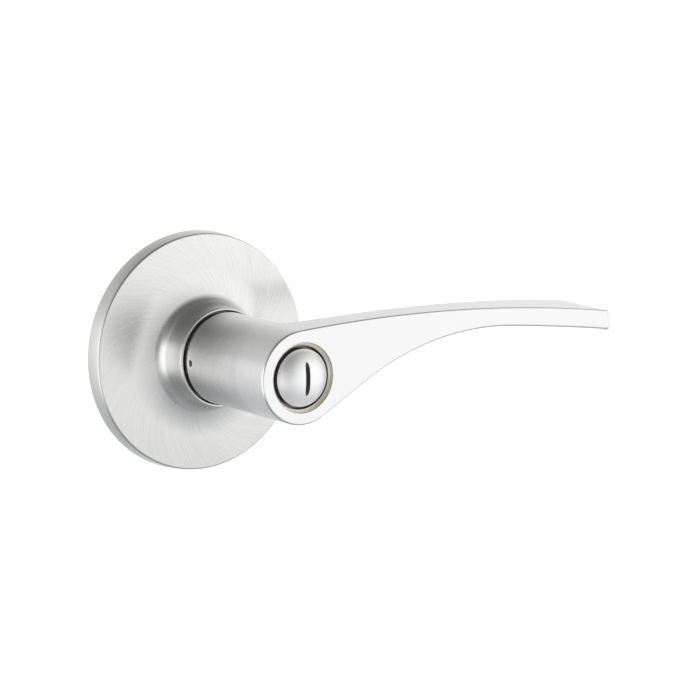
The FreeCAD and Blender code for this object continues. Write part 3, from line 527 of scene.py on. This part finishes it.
def make_lever():
    """Blade, neck and hollow as one closed surface."""
    skin = Skin()
    stations = blade_stations()
    low_angle, high_angle = [math.atan2(end.y, end.x) for end in stations[0][:2]]
    free = spread(high_angle, math.pi, 81)[1:] + spread(math.pi, low_angle + 2 * math.pi, 115)[1:-1]
    angles = spread(low_angle, high_angle, COLUMNS) + free
    hole_column = angles.index(math.pi)

    # the outline: underside, tip, top edge, then the free part of the head
    low_tip, high_tip, _ = stations[-1]
    outline = [low for low, _, _ in stations]
    outline += [across(low_tip, high_tip, 1.0, share) for share in spread(0.0, 1.0, COLUMNS)[1:-1]]
    outline += [high for _, high, _ in reversed(stations)]
    on_blade = len(outline)
    outline += [Vector((HEAD * math.cos(angle), HEAD * math.sin(angle))) for angle in free]

    bands = lever_walls(skin, outline, on_blade)
    ring = lever_back(skin, bands[0], stations) + bands[0][on_blade:]
    ring, outer_patch = lever_neck(skin, ring, angles, hole_column)
    tail = soften([
        (HEAD, STRAIGHT_REAR + 0.1, 0),
        (HEAD, STRAIGHT_REAR, 0.06),
        (TAIL_RADIUS, CHAMFER_FRONT, 0.06),
        (TAIL_RADIUS, NECK_REAR, 0.15),
        (BORE, NECK_REAR, 0.2),
        (BORE, PINHOLE_FRONT - SEAT_REACH, 0),
    ], closed=False)
    ring = follow(skin, ring, tail, angles)
    ring, inner_patch = catch_seat_wall(skin, ring, angles, hole_column)
    hollow = soften([
        (BORE, 24.0, 0),
        (RELIEF, 25.0, 0),
        (RELIEF, 37.0, 0),
        (BORE, 38.0, 0),
        (BORE, SHOULDER_REAR, 0),
        (SHOULDER, SHOULDER_REAR, 0),
        (SHOULDER, RECESS_FLOOR, 0),
        (RECESS, RECESS_FLOOR, 0),
        (RECESS, FACE, 0.16),
        (RECESS + 0.3, FACE, 0),
    ], closed=False)
    ring = follow(skin, ring, hollow, angles)
    skin.fill(bands[-1], ring, lambda point: (point[0], point[2]))
    pinhole(skin, outer_patch, inner_patch)
    return skin.build("lever_body", 30.0)


def patch_loop(rings, low, high):
    """The loop of points round a rectangular opening in a stack of rings."""
    loop = [ring[low] for ring in rings]
    loop += rings[-1][low + 1:high + 1]
    loop += [ring[high] for ring in rings[-2::-1]]
    return loop + rings[0][low + 1:high][::-1]


# ---- privacy turn ----

def make_bezel():
    """The ring in the recess, with a stepped cone that leads down to the button."""
    return revolve("bezel_ring", soften([
        (BEZEL_RADIUS - RING_CLEARANCE, BEZEL_BACK, 0.1),
        (BEZEL_RADIUS - RING_CLEARANCE, BEZEL_FRONT, 0.1),
        (BEZEL_RADIUS - RING_CLEARANCE - RING_LIP, BEZEL_FRONT, 0.06),
        (RING_STEP, RING_STEP_FRONT, 0.15),
        (RING_BORE, RING_BORE_FRONT, 0.06),
        (RING_BORE, BEZEL_BACK, 0.1),
    ]), 256, 30.0)


def dome_front(radius):
    """Nearly flat in the middle and steeper towards the rim."""
    return BUTTON_APEX - (BUTTON_APEX - DOME_EDGE_FRONT) * (radius / DOME_EDGE) ** DOME_POWER


def make_button():
    """A domed button on a stem, with a groove behind its rim and a lens-shaped coin slot."""
    shoulder = DOME_EDGE - 0.25
    outline = [Vector((radius, dome_front(radius))) for radius in spread(0.0, shoulder, 36)]
    outline += soften([
        (shoulder, dome_front(shoulder), 0),
        (BUTTON_RADIUS - 0.1, DOME_EDGE_FRONT - 0.08, 0.2),
        (BUTTON_RADIUS, RIM_BACK, 0.05),
        (BUTTON_NECK, RIM_BACK - 0.35, 0.1),
        (BUTTON_NECK, BUTTON_BACK, 0.15),
        (STEM, BUTTON_BACK, 0),
        (STEM, 50.5, 0),
        (DETENT_GROOVE, 50.5, 0),
        (DETENT_GROOVE, 47.5, 0),
        (STEM, 47.5, 0),
        (STEM, 43.75, 0),
        (CLIP_GROOVE, 43.75, 0),
        (CLIP_GROOVE, 42.95, 0),
        (STEM, 42.95, 0),
        (STEM, STEM_BACK, 0.1),
        (BLADE_SOCKET, STEM_BACK, 0),
        (BLADE_SOCKET, BLADE_SOCKET_FRONT, 0),
        (0.0, BLADE_SOCKET_FRONT, 0),
    ], closed=False)[1:]
    return carve(revolve("turn_knob", outline, 256, 30.0), coin_cutter())


def coin_cutter():
    """A thin disc with a rounded rim, standing upright across the dome."""
    flat_radius = SLOT_CUTTER - SLOT_CUTTER_ROUND
    centre = BUTTON_APEX - SLOT_DEPTH + SLOT_CUTTER
    outline = [(0.0, -SLOT_HALF_WIDTH), (flat_radius, -SLOT_HALF_WIDTH)]
    for turn in spread(-math.pi / 2, math.pi / 2, 16)[1:-1]:
        outline.append((flat_radius + SLOT_CUTTER_ROUND * math.cos(turn), SLOT_HALF_WIDTH * math.sin(turn)))
    outline += [(flat_radius, SLOT_HALF_WIDTH), (0.0, SLOT_HALF_WIDTH)]
    skin = Skin()
    rings = []
    for radius, x in outline:
        rings.append(skin.ring([(x, -(centre + radius * math.cos(angle)), radius * math.sin(angle))
                                for angle in even_angles(96)]))
    for first, second in zip(rings, rings[1:]):
        skin.join(first, second)
    return skin.build("coin_cutter")


def carve(piece, cutter):
    """Cuts one closed mesh with another and removes the cutter."""
    cut = piece.modifiers.new("cut", "BOOLEAN")
    cut.operation = "DIFFERENCE"
    cut.solver = "EXACT"
    cut.object = cutter
    bake(piece)
    bpy.data.objects.remove(cutter)
    clean(piece, 30.0)
    return piece


def bake(piece):
    """Turns a piece's modifiers into its mesh."""
    view = bpy.context.evaluated_depsgraph_get()
    mesh = bpy.data.meshes.new_from_object(piece.evaluated_get(view))
    piece.modifiers.clear()
    piece.data = mesh


# ---- CAD pieces with broken edges ----

def eased(node, width):
    """A copy of a CAD node whose sharp edges are broken, as on the stamped, cast or turned piece."""
    piece = bpy.data.objects.new(f"{node}_eased", frame["nodes"][node].data.copy())
    bpy.context.scene.collection.objects.link(piece)
    work = bmesh.new()
    work.from_mesh(piece.data)
    bmesh.ops.remove_doubles(work, verts=work.verts, dist=0.001 * MM)
    bmesh.ops.dissolve_limit(work, angle_limit=math.radians(0.5), verts=work.verts, edges=work.edges)
    work.to_mesh(piece.data)
    work.free()
    edges = piece.modifiers.new("edges", "BEVEL")
    edges.width = width * MM
    edges.segments = 2
    edges.limit_method = "ANGLE"
    edges.angle_limit = math.radians(40.0)
    edges.use_clamp_overlap = True
    bake(piece)
    clean(piece, 32.0)
    return piece


# ---- materials ----

def put(tree, kind, inputs=None, **settings):
    """Adds a node; inputs gives sockets a value or a link."""
    node = tree.nodes.new(kind)
    for name, value in settings.items():
        setattr(node, name, value)
    for socket, value in (inputs or {}).items():
        if isinstance(value, bpy.types.NodeSocket):
            tree.links.new(value, node.inputs[socket])
        else:
            node.inputs[socket].default_value = value
    return node


def maths(tree, operation, first, second=0.0):
    return put(tree, "ShaderNodeMath", {0: first, 1: second}, operation=operation).outputs[0]


def vectors(tree, operation, first, second=(0, 0, 0), output=0):
    return put(tree, "ShaderNodeVectorMath", {0: first, 1: second}, operation=operation).outputs[output]


def place_mm(tree):
    """The point on the piece at rest, in millimetres."""
    coordinates = put(tree, "ShaderNodeTexCoord").outputs["Object"]
    return put(tree, "ShaderNodeVectorMath", {0: coordinates, "Scale": 1 / MM}, operation="SCALE").outputs[0]


def noise(tree, vector, detail=3.0, rough=0.6):
    return put(tree, "ShaderNodeTexNoise",
               {"Vector": vector, "Scale": 1.0, "Detail": detail, "Roughness": rough}).outputs["Fac"]


def remap(tree, value, low, high, new_low, new_high, smooth=False):
    kind = "SMOOTHSTEP" if smooth else "LINEAR"
    return put(tree, "ShaderNodeMapRange", {0: value, 1: low, 2: high, 3: new_low, 4: new_high},
               interpolation_type=kind).outputs[0]


def hoop_grain(tree, place):
    """Fine lines round the spindle axis."""
    return noise(tree, vectors(tree, "MULTIPLY", place, (0.16, 3.4, 0.16)))


def length_grain(tree, place):
    """Fine lines along the blade."""
    return noise(tree, vectors(tree, "MULTIPLY", place, (0.11, 3.2, 3.2)))


def even_grain(tree, place):
    """Fine even tooth, as on bead-blasted or plated metal."""
    return noise(tree, vectors(tree, "MULTIPLY", place, (5.0, 5.0, 5.0)))


def swirl_place(tree, place, twist, count, length):
    """Coordinates that run along spirals about the spindle axis."""
    flat = vectors(tree, "MULTIPLY", place, (1, 0, 1))
    radius = vectors(tree, "LENGTH", flat, output=1)
    twisted = put(tree, "ShaderNodeVectorRotate",
                  {"Vector": flat, "Angle": maths(tree, "MULTIPLY", radius, twist)},
                  rotation_type="Y_AXIS").outputs[0]
    round_part = put(tree, "ShaderNodeVectorMath", {0: vectors(tree, "NORMALIZE", twisted), "Scale": count},
                     operation="SCALE").outputs[0]
    along = put(tree, "ShaderNodeCombineXYZ", {1: maths(tree, "DIVIDE", radius, length)}).outputs[0]
    return vectors(tree, "ADD", round_part, along)


def swirl_grain(tree, place):
    """Crossing spiral strokes, as a rotary brush leaves them."""
    first = noise(tree, swirl_place(tree, place, 0.024, 84.0, 13.0))
    second = noise(tree, swirl_place(tree, place, 0.036, 42.0, 10.0))
    strokes = maths(tree, "ADD", maths(tree, "MULTIPLY", first, 0.55), maths(tree, "MULTIPLY", second, 0.45))
    # the rim's side and the collar are drawn smoother than the face
    radius = vectors(tree, "LENGTH", vectors(tree, "MULTIPLY", place, (1, 0, 1)), output=1)
    rim_side = remap(tree, radius, ROSE_EDGE - 0.6, ROSE_EDGE - 0.2, 0.0, 0.85, smooth=True)
    collar = remap(tree, radius, COLLAR_RADIUS + 0.7, COLLAR_RADIUS + 3.0, 0.7, 0.0, smooth=True)
    smoother = maths(tree, "MAXIMUM", rim_side, collar)
    return put(tree, "ShaderNodeMix", {0: smoother, 2: strokes, 3: 0.5}, data_type="FLOAT").outputs[0]


def lever_grain(tree, place):
    """Round the neck, turning to lengthwise lines along the blade."""
    x, y, _ = put(tree, "ShaderNodeSeparateXYZ", {0: place}).outputs
    share = remap(tree, x, 3.0, 15.0, 0.0, 1.0, smooth=True)
    lines = put(tree, "ShaderNodeMix", {0: share, 2: hoop_grain(tree, place), 3: length_grain(tree, place)},
                data_type="FLOAT").outputs[0]
    # the face is polished smoother than the sides
    polish = remap(tree, y, -FACE + FACE_ROUND, -FACE + 0.1, 0.0, 0.85, smooth=True)
    return put(tree, "ShaderNodeMix", {0: polish, 2: lines, 3: 0.5}, data_type="FLOAT").outputs[0]


def metal(name, colour, roughness, grain, depth, tone=0.05, anisotropy=0.0, tangent=None, metallic=1.0):
    """Metal with its grain in colour, roughness and height, and handling marks at a larger scale."""
    material = bpy.data.materials.new(name)
    material.use_nodes = True
    tree = material.node_tree
    tree.nodes.clear()
    place = place_mm(tree)
    lines = grain(tree, place)
    marks = noise(tree, vectors(tree, "MULTIPLY", place, (0.09, 0.09, 0.09)), 4.0, 0.55)
    shade = maths(tree, "ADD", remap(tree, lines, 0.3, 0.7, 1 - tone, 1 + tone),
                  remap(tree, marks, 0.3, 0.7, -0.02, 0.02))
    base = put(tree, "ShaderNodeVectorMath", {0: colour, "Scale": shade}, operation="SCALE").outputs[0]
    rough = maths(tree, "ADD", remap(tree, lines, 0.25, 0.75, roughness * 0.86, roughness * 1.14),
                  remap(tree, marks, 0.3, 0.7, -0.025, 0.025))
    height = put(tree, "ShaderNodeBump", {"Strength": 1.0, "Distance": depth * MM, "Height": lines})
    shader = put(tree, "ShaderNodeBsdfPrincipled", {
        "Base Color": base, "Metallic": metallic, "Roughness": rough, "Anisotropic": anisotropy,
        "Normal": height.outputs[0]})
    if tangent:
        across_grain = put(tree, "ShaderNodeVectorTransform", {0: tangent(tree, place)}, vector_type="VECTOR",
                           convert_from="OBJECT", convert_to="WORLD").outputs[0]
        tree.links.new(across_grain, shader.inputs["Tangent"])
    put(tree, "ShaderNodeOutputMaterial", {"Surface": shader.outputs[0]})
    return material


def swirl_tangent(tree, place, twist=0.03):
    """Across the spiral strokes."""
    flat = vectors(tree, "MULTIPLY", place, (1, 0, 1))
    around_axis = vectors(tree, "CROSS_PRODUCT", vectors(tree, "NORMALIZE", flat), (0, 1, 0))
    inwards = vectors(tree, "MULTIPLY", flat, (-twist, -twist, -twist))
    return vectors(tree, "ADD", around_axis, inwards)


def axis_tangent(tree, place):
    """Along the spindle axis, across lines that run round it."""
    return put(tree, "ShaderNodeCombineXYZ", {1: 1.0}).outputs[0]


def dress(piece, material, body=None, stands_for=None):
    """Gives a piece its material, and a modelled piece its body; the CAD node it stands for is hidden."""
    piece.data.materials.clear()
    piece.data.materials.append(material)
    if body:
        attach(piece, body)
    if stands_for:
        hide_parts(stands_for)


def paint_recess_shade(piece, material, in_painted_shade):
    """Paints shade: the coin slot, the neck behind the button's rim and the ring's bore get a dark material
    that stands in for the shade falling in these recesses.
    """
    piece.data.materials.append(material)
    for polygon in piece.data.polygons:
        place = polygon.center / MM
        if in_painted_shade(place, math.hypot(place.x, place.z)):
            polygon.material_index = 1


# where the painted shade goes on the button: behind its rim and inside the coin slot
def in_slot_or_behind_rim(place, radius):
    if -place.y < RIM_BACK - 0.05:
        return True
    in_slot = abs(place.x) < SLOT_HALF_WIDTH + 0.02 and radius < SLOT_HALF_LENGTH
    return in_slot and -place.y < dome_front(radius) - 0.04


# where the painted shade goes on the ring: its bore
def in_bore(place, radius):
    return radius < RING_BORE + 0.02


# ---- the visible pieces ----

satin_rose = metal("satin_rose", (0.80, 0.80, 0.79), 0.26, swirl_grain, 0.013, 0.09, 0.5, swirl_tangent)
satin_lever = metal("satin_lever", (0.88, 0.88, 0.88), 0.25, lever_grain, 0.004, 0.045, 0.3, axis_tangent)
satin_button = metal("satin_button", (0.97, 0.975, 0.975), 0.37, even_grain, 0.0015, 0.02, metallic=0.75)
# painted shade: a dark brown material standing in for the shade deep in the coin slot, behind the button's
# rim and in the ring's bore
painted_recess_shade = metal("painted_recess_shade", (0.17, 0.145, 0.12), 0.5, even_grain, 0.003, 0.1, metallic=0.25)
nickel_ring = metal("nickel_ring", (0.96, 0.885, 0.765), 0.34, hoop_grain, 0.003, 0.08, 0.3, metallic=0.75)
zinc = metal("zinc_plate", (0.66, 0.67, 0.68), 0.33, even_grain, 0.004, 0.06)
cast = metal("cast_zinc", (0.46, 0.47, 0.48), 0.52, even_grain, 0.012, 0.08)
spring_wire = metal("spring_wire", (0.36, 0.36, 0.37), 0.32, even_grain, 0.003, 0.05)
black_clip = metal("black_clip", (0.045, 0.045, 0.045), 0.45, even_grain, 0.004, 0.1, metallic=0.4)
nylon = metal("nylon", (0.78, 0.76, 0.68), 0.45, even_grain, 0.004, 0.02, metallic=0.0)
brass = metal("brass", (0.82, 0.50, 0.24), 0.3, even_grain, 0.003, 0.06)

BY_SLOT = {
    "satin_rose": satin_rose, "satin_lever": satin_lever, "satin_button": satin_button,
    "nickel_ring": nickel_ring, "zinc_plated_steel": zinc, "cast_zinc": cast, "spring_steel": spring_wire,
    "black_steel": black_clip, "white_nylon": nylon, "brass_catch": brass,
}
BODY_OF = {node: body for body, nodes in frame["record"]["behaviour"]["bodies"].items() for node in nodes}
SLOT_OF = {part["node"]: part["material_slot"] for part in frame["record"]["subparts"]}
EDGE_BREAK = {
    "mounting_plate": 0.25, "bearing_collar": 0.3, "through_post_left": 0.35, "through_post_right": 0.35,
    "driver_cam": 0.2, "torque_blade": 0.12, "drive_plug": 0.2, "collar_screws": 0.15,
}

dress(make_rose(), satin_rose, "door_side", "rose_cover")
dress(make_lever(), satin_lever, "lever_side", "lever")
bezel = make_bezel()
dress(bezel, nickel_ring, "lever_side", "privacy_bezel")
# painted shade: the ring's bore is given the dark shade material
paint_recess_shade(bezel, painted_recess_shade, in_bore)
button = make_button()
dress(button, satin_button, "privacy_turn", "turn_button")
# painted shade: the coin slot and the neck behind the button's rim are given the dark shade material
paint_recess_shade(button, painted_recess_shade, in_slot_or_behind_rim)
for node_name, width in EDGE_BREAK.items():
    slot_name = SLOT_OF[node_name]
    dress(eased(node_name, width), BY_SLOT[slot_name], BODY_OF[node_name], node_name)
for node_name, node_object in frame["nodes"].items():
    dress(node_object, BY_SLOT[SLOT_OF[node_name]])


# ---- stage, light and camera ----

def make_floor():
    """A pale floor well below the handle, which hangs in the air as it would on a door."""
    mesh = bpy.data.meshes.new("floor")
    half, height = 20.0, -0.30
    corners = [(-half, -half, height), (half, -half, height), (half, half, height), (-half, half, height)]
    mesh.from_pydata(corners, [], [(0, 1, 2, 3)])
    floor = bpy.data.objects.new("floor", mesh)
    bpy.context.scene.collection.objects.link(floor)
    material = bpy.data.materials.new("floor")
    material.use_nodes = True
    shader = material.node_tree.nodes["Principled BSDF"]
    shader.inputs["Base Color"].default_value = (0.9, 0.9, 0.9, 1.0)
    shader.inputs["Roughness"].default_value = 0.9
    shader.inputs["Emission Color"].default_value = (1.0, 1.0, 1.0, 1.0)
    shader.inputs["Emission Strength"].default_value = 0.75
    mesh.materials.append(material)
    floor.visible_glossy = False


def ramp(tree, value, stops):
    """Light over height, from straight down (-1) to straight up (1). A stop is (height, red, green, blue)."""
    node = put(tree, "ShaderNodeValToRGB", {0: remap(tree, value, -1.0, 1.0, 0.0, 1.0)})
    node.color_ramp.interpolation = "LINEAR"
    while len(node.color_ramp.elements) < len(stops):
        node.color_ramp.elements.new(1.0)
    for element, (height, red, green, blue) in zip(node.color_ramp.elements, stops):
        element.position = (height + 1) / 2
        element.color = (red, green, blue, 1.0)
    return node.outputs[0]


def mix_light(tree, share, first, second):
    return put(tree, "ShaderNodeMix", {0: share, 6: first, 7: second}, data_type="RGBA").outputs[2]


DARK_SIDE = [
    (-1.0, 0.42, 0.43, 0.44), (-0.78, 0.27, 0.28, 0.29), (-0.55, 0.46, 0.46, 0.47), (-0.3, 0.80, 0.80, 0.80),
    (-0.16, 0.58, 0.58, 0.58), (0.0, 0.34, 0.34, 0.34), (0.2, 0.32, 0.32, 0.32), (0.4, 0.33, 0.33, 0.33),
    (0.6, 0.21, 0.21, 0.21), (0.8, 0.14, 0.14, 0.14), (1.0, 0.16, 0.16, 0.16)]
CARD_SIDE = [
    (-1.0, 0.46, 0.47, 0.48), (-0.75, 0.62, 0.63, 0.64), (-0.4, 0.90, 0.90, 0.91), (-0.25, 1.00, 1.00, 1.00),
    (-0.16, 1.15, 1.15, 1.15), (0.3, 1.15, 1.15, 1.15), (0.5, 1.14, 1.14, 1.14), (0.7, 1.04, 1.04, 1.03),
    (0.87, 0.62, 0.62, 0.61), (1.0, 0.25, 0.25, 0.245)]
BACKDROP = [
    (-1.0, 0.30, 0.31, 0.32), (-0.8, 0.36, 0.37, 0.38), (-0.5, 0.67, 0.68, 0.69), (-0.16, 0.88, 0.88, 0.88),
    (0.0, 0.97, 0.97, 0.97), (0.17, 0.95, 0.95, 0.95), (0.3, 0.76, 0.76, 0.76), (0.5, 0.68, 0.68, 0.67),
    (0.75, 0.28, 0.28, 0.275), (1.0, 0.15, 0.15, 0.145)]
TOWARD_CARD = (0.75, -0.66, 0.0)
TOWARD_SOFT_BOX = (-0.98, 0.2, 0.0)
SOFT_BOX_LIGHT = (1.32, 1.32, 1.31, 1.0)


def make_world():
    """A studio: a dark side and a bright card on the room's side, a backdrop, and a soft box on the left."""
    world = bpy.data.worlds.new("studio")
    bpy.context.scene.world = world
    world.use_nodes = True
    tree = world.node_tree
    tree.nodes.clear()
    direction = put(tree, "ShaderNodeTexCoord").outputs["Generated"]
    x, y, height = put(tree, "ShaderNodeSeparateXYZ", {0: direction}).outputs

    # the room's side: the card fades into the dark
    toward_card = vectors(tree, "DOT_PRODUCT", direction, TOWARD_CARD, output=1)
    card_share = maths(tree, "POWER", remap(tree, toward_card, 0.25, 0.95, 0.0, 1.0), 1.15)
    light = mix_light(tree, card_share, ramp(tree, height, DARK_SIDE), ramp(tree, height, CARD_SIDE))

    # the door's side: the backdrop, a little dimmer on the left
    backdrop = put(tree, "ShaderNodeVectorMath", {
        0: ramp(tree, height, BACKDROP), "Scale": remap(tree, x, -0.6, 0.1, 0.84, 1.0)},
        operation="SCALE").outputs[0]
    light = mix_light(tree, remap(tree, y, -0.35, 0.35, 0.0, 1.0, smooth=True), light, backdrop)

    # the soft box, with soft edges at its sides, bottom and top
    leftward = vectors(tree, "DOT_PRODUCT", direction, TOWARD_SOFT_BOX, output=1)
    soft_box = remap(tree, leftward, 0.45, 0.92, 0.0, 1.0, smooth=True)
    for value, low, high, at_low, at_high in ((y, 0.55, 0.84, 1.0, 0.0), (height, -0.66, -0.48, 0.0, 1.0),
                                              (height, 0.18, 0.4, 1.0, 0.0)):
        edge = remap(tree, value, low, high, at_low, at_high, smooth=True)
        soft_box = maths(tree, "MULTIPLY", soft_box, edge)
    light = mix_light(tree, soft_box, light, SOFT_BOX_LIGHT)
    background = put(tree, "ShaderNodeBackground", {0: light, 1: 1.0})
    put(tree, "ShaderNodeOutputWorld", {0: background.outputs[0]})


CAMERA_AZIMUTH = math.radians(33.625)
CAMERA_ELEVATION = math.radians(9.344)
CAMERA_DISTANCE = 1.2
CAMERA_LENS = 219.15
AIM_RIGHT = 44.526 * MM
AIM_UP = -0.172 * MM


def make_camera():
    """Looks down a little and from the lever's left."""
    sine, cosine = math.sin(CAMERA_AZIMUTH), math.cos(CAMERA_AZIMUTH)
    level = math.cos(CAMERA_ELEVATION)
    ahead = Vector((sine * level, cosine * level, -math.sin(CAMERA_ELEVATION)))
    right = Vector((cosine, -sine, 0))
    up = right.cross(ahead)
    data = bpy.data.cameras.new("camera")
    data.lens = CAMERA_LENS
    data.sensor_width = 36.0
    data.clip_end = 100.0
    camera = bpy.data.objects.new("camera", data)
    place = right * AIM_RIGHT + up * AIM_UP - ahead * CAMERA_DISTANCE
    camera.matrix_world = Matrix.Translation(place) @ Matrix((right, up, -ahead)).transposed().to_4x4()
    bpy.context.scene.collection.objects.link(camera)
    bpy.context.scene.camera = camera


make_floor()
make_world()
make_camera()
bpy.context.scene.view_settings.view_transform = "Standard"
